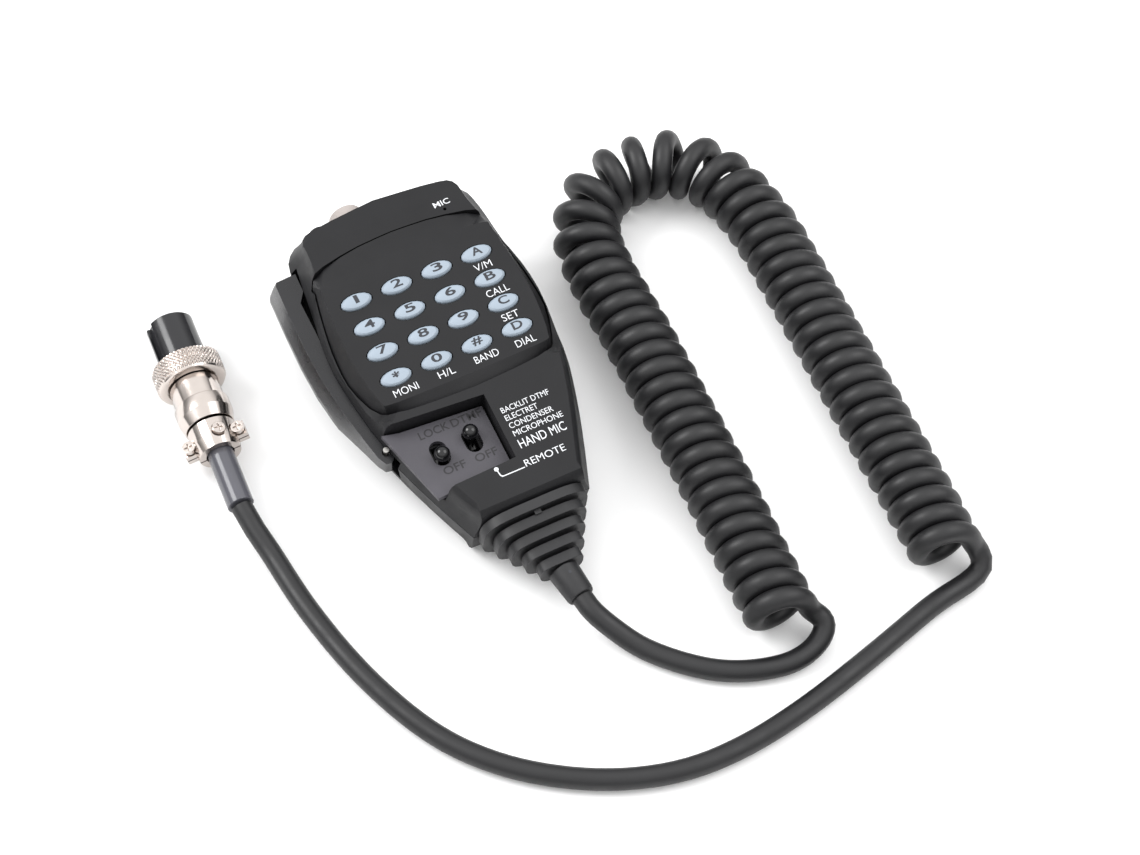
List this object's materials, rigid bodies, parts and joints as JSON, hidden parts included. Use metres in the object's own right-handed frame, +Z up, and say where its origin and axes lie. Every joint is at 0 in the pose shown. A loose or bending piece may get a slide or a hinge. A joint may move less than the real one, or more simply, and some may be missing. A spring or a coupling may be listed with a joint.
{
  "type": "hand microphone",
  "caption": "Radio hand microphone with an oval-key pad, two slide switches, a side talk lever, a ribbed cord boot and a curly cord that ends in a round plug",
  "frame": {"origin": "middle of the microphone’s own footprint, on the surface it lies on; the cord and plug are not counted", "axes": "+Y from the cord end to the top of the microphone, +Z up from the surface, +X to the right as the keys are read"},
  "size_m": [0.1814, 0.1832, 0.0343],
  "materials": {
    "case_black": "fine matte texture",
    "lever_black": "semi-gloss",
    "plate_grey": "matte",
    "knob_black": "glossy",
    "key_blue": "satin, pale blue-grey",
    "key_pale": "grained, pale warm grey",
    "soft_rubber": "matte rubber",
    "cord_rubber": "matte rubber",
    "board_green": "circuit board",
    "part_black": "moulded",
    "insert_black": "glossy",
    "nickel": "polished nickel, knurled ring",
    "steel": "plated",
    "sleeve_grey": "glossy shrink sleeve"
  },
  "bodies": {
    "case": {"front_shell": "case_black", "rear_shell": "case_black", "keypad_plate": "case_black", "switch_plate": "plate_grey", "key_mat": "soft_rubber", "mic_holder": "soft_rubber", "cord_boot": "soft_rubber", "cord_relief": "soft_rubber", "cord_mic_tail": "cord_rubber", "cord_coil": "cord_rubber", "cord_plug_tail": "cord_rubber", "main_board": "board_green", "lock_switch": "part_black", "tone_switch": "part_black", "ptt_switch": "part_black", "plug_insert": "insert_black", "plug_barrel": "nickel", "clamp_upper": "nickel", "clamp_lower": "nickel", "clamp_screw_left": "nickel", "clamp_screw_right": "nickel", "clamp_screw_top": "nickel", "mic_capsule": "steel", "ptt_pin": "steel", "ptt_leaf": "steel", "hanger_stud": "steel", "stud_screw": "steel", "case_screw_1": "steel", "case_screw_2": "steel", "case_screw_3": "steel", "case_screw_4": "steel", "plug_sleeve": "sleeve_grey"},
    "up_key": {"up_key": "key_pale"},
    "down_key": {"down_key": "case_black"},
    "lock_knob": {"lock_knob": "knob_black"},
    "tone_knob": {"tone_knob": "knob_black"},
    "ptt_lever": {"ptt_lever": "lever_black"},
    "ptt_plunger": {"ptt_plunger": "part_black"},
    "coupling_ring": {"coupling_ring": "nickel"},
    "key_1": {"key_1": "key_blue"},
    "key_2": {"key_2": "key_blue"},
    "key_3": {"key_3": "key_blue"},
    "key_a": {"key_a": "key_blue"},
    "key_4": {"key_4": "key_blue"},
    "key_5": {"key_5": "key_blue"},
    "key_6": {"key_6": "key_blue"},
    "key_b": {"key_b": "key_blue"},
    "key_7": {"key_7": "key_blue"},
    "key_8": {"key_8": "key_blue"},
    "key_9": {"key_9": "key_blue"},
    "key_c": {"key_c": "key_blue"},
    "key_star": {"key_star": "key_blue"},
    "key_0": {"key_0": "key_blue"},
    "key_hash": {"key_hash": "key_blue"},
    "key_d": {"key_d": "key_blue"}
  },
  "joints": [
    {"name": "press_key_1", "type": "slide", "parent": "case", "child": "key_1", "axis": [0, 0.1322, -0.9912], "range_m": [0, 0.0008], "stiffness_N_per_m": 600, "springref_m": -0.0005},
    {"name": "press_key_2", "type": "slide", "parent": "case", "child": "key_2", "axis": [0, 0.1322, -0.9912], "range_m": [0, 0.0008], "stiffness_N_per_m": 600, "springref_m": -0.0005},
    {"name": "press_key_3", "type": "slide", "parent": "case", "child": "key_3", "axis": [0, 0.1322, -0.9912], "range_m": [0, 0.0008], "stiffness_N_per_m": 600, "springref_m": -0.0005},
    {"name": "press_key_a", "type": "slide", "parent": "case", "child": "key_a", "axis": [0, 0.1322, -0.9912], "range_m": [0, 0.0008], "stiffness_N_per_m": 600, "springref_m": -0.0005},
    {"name": "press_key_4", "type": "slide", "parent": "case", "child": "key_4", "axis": [0, 0.1322, -0.9912], "range_m": [0, 0.0008], "stiffness_N_per_m": 600, "springref_m": -0.0005},
    {"name": "press_key_5", "type": "slide", "parent": "case", "child": "key_5", "axis": [0, 0.1322, -0.9912], "range_m": [0, 0.0008], "stiffness_N_per_m": 600, "springref_m": -0.0005},
    {"name": "press_key_6", "type": "slide", "parent": "case", "child": "key_6", "axis": [0, 0.1322, -0.9912], "range_m": [0, 0.0008], "stiffness_N_per_m": 600, "springref_m": -0.0005},
    {"name": "press_key_b", "type": "slide", "parent": "case", "child": "key_b", "axis": [0, 0.1322, -0.9912], "range_m": [0, 0.0008], "stiffness_N_per_m": 600, "springref_m": -0.0005},
    {"name": "press_key_7", "type": "slide", "parent": "case", "child": "key_7", "axis": [0, 0.1322, -0.9912], "range_m": [0, 0.0008], "stiffness_N_per_m": 600, "springref_m": -0.0005},
    {"name": "press_key_8", "type": "slide", "parent": "case", "child": "key_8", "axis": [0, 0.1322, -0.9912], "range_m": [0, 0.0008], "stiffness_N_per_m": 600, "springref_m": -0.0005},
    {"name": "press_key_9", "type": "slide", "parent": "case", "child": "key_9", "axis": [0, 0.1322, -0.9912], "range_m": [0, 0.0008], "stiffness_N_per_m": 600, "springref_m": -0.0005},
    {"name": "press_key_c", "type": "slide", "parent": "case", "child": "key_c", "axis": [0, 0.1322, -0.9912], "range_m": [0, 0.0008], "stiffness_N_per_m": 600, "springref_m": -0.0005},
    {"name": "press_key_star", "type": "slide", "parent": "case", "child": "key_star", "axis": [0, 0.1322, -0.9912], "range_m": [0, 0.0008], "stiffness_N_per_m": 600, "springref_m": -0.0005},
    {"name": "press_key_0", "type": "slide", "parent": "case", "child": "key_0", "axis": [0, 0.1322, -0.9912], "range_m": [0, 0.0008], "stiffness_N_per_m": 600, "springref_m": -0.0005},
    {"name": "press_key_hash", "type": "slide", "parent": "case", "child": "key_hash", "axis": [0, 0.1322, -0.9912], "range_m": [0, 0.0008], "stiffness_N_per_m": 600, "springref_m": -0.0005},
    {"name": "press_key_d", "type": "slide", "parent": "case", "child": "key_d", "axis": [0, 0.1322, -0.9912], "range_m": [0, 0.0008], "stiffness_N_per_m": 600, "springref_m": -0.0005},
    {"name": "press_up_key", "type": "slide", "parent": "case", "child": "up_key", "axis": [0, -0.9912, -0.1322], "range_m": [0, 0.0008], "stiffness_N_per_m": 600, "springref_m": -0.0005},
    {"name": "press_down_key", "type": "slide", "parent": "case", "child": "down_key", "axis": [0, -0.9912, -0.1322], "range_m": [0, 0.0008], "stiffness_N_per_m": 600, "springref_m": -0.0005},
    {"name": "slide_lock_knob", "type": "slide", "parent": "case", "child": "lock_knob", "axis": [0, 0.9912, 0.1322], "range_m": [0, 0.0026]},
    {"name": "slide_tone_knob", "type": "slide", "parent": "case", "child": "tone_knob", "axis": [0, 0.9912, 0.1322], "range_m": [-0.0026, 0]},
    {"name": "press_ptt_lever", "type": "hinge", "parent": "case", "child": "ptt_lever", "pos_m": [-0.02414, -0.00694, 0.01462], "axis": [0, 0.1322, -0.9912], "range_deg": [0, 3], "stiffness_Nm_per_rad": 0.6, "springref_deg": -3.44},
    {"name": "press_ptt_plunger", "type": "slide", "parent": "case", "child": "ptt_plunger", "axis": [1, 0, 0], "range_m": [0, 0.0015]},
    {"name": "turn_coupling_ring", "type": "hinge", "parent": "case", "child": "coupling_ring", "pos_m": [-0.05885, 0.04392, 0.00964], "axis": [0.0767, 0.9961, 0.0436], "continuous": true}
  ],
  "couplings": [
    {"joint": "press_ptt_plunger", "follows": "press_ptt_lever", "m_per_rad": 0.0274}
  ]
}
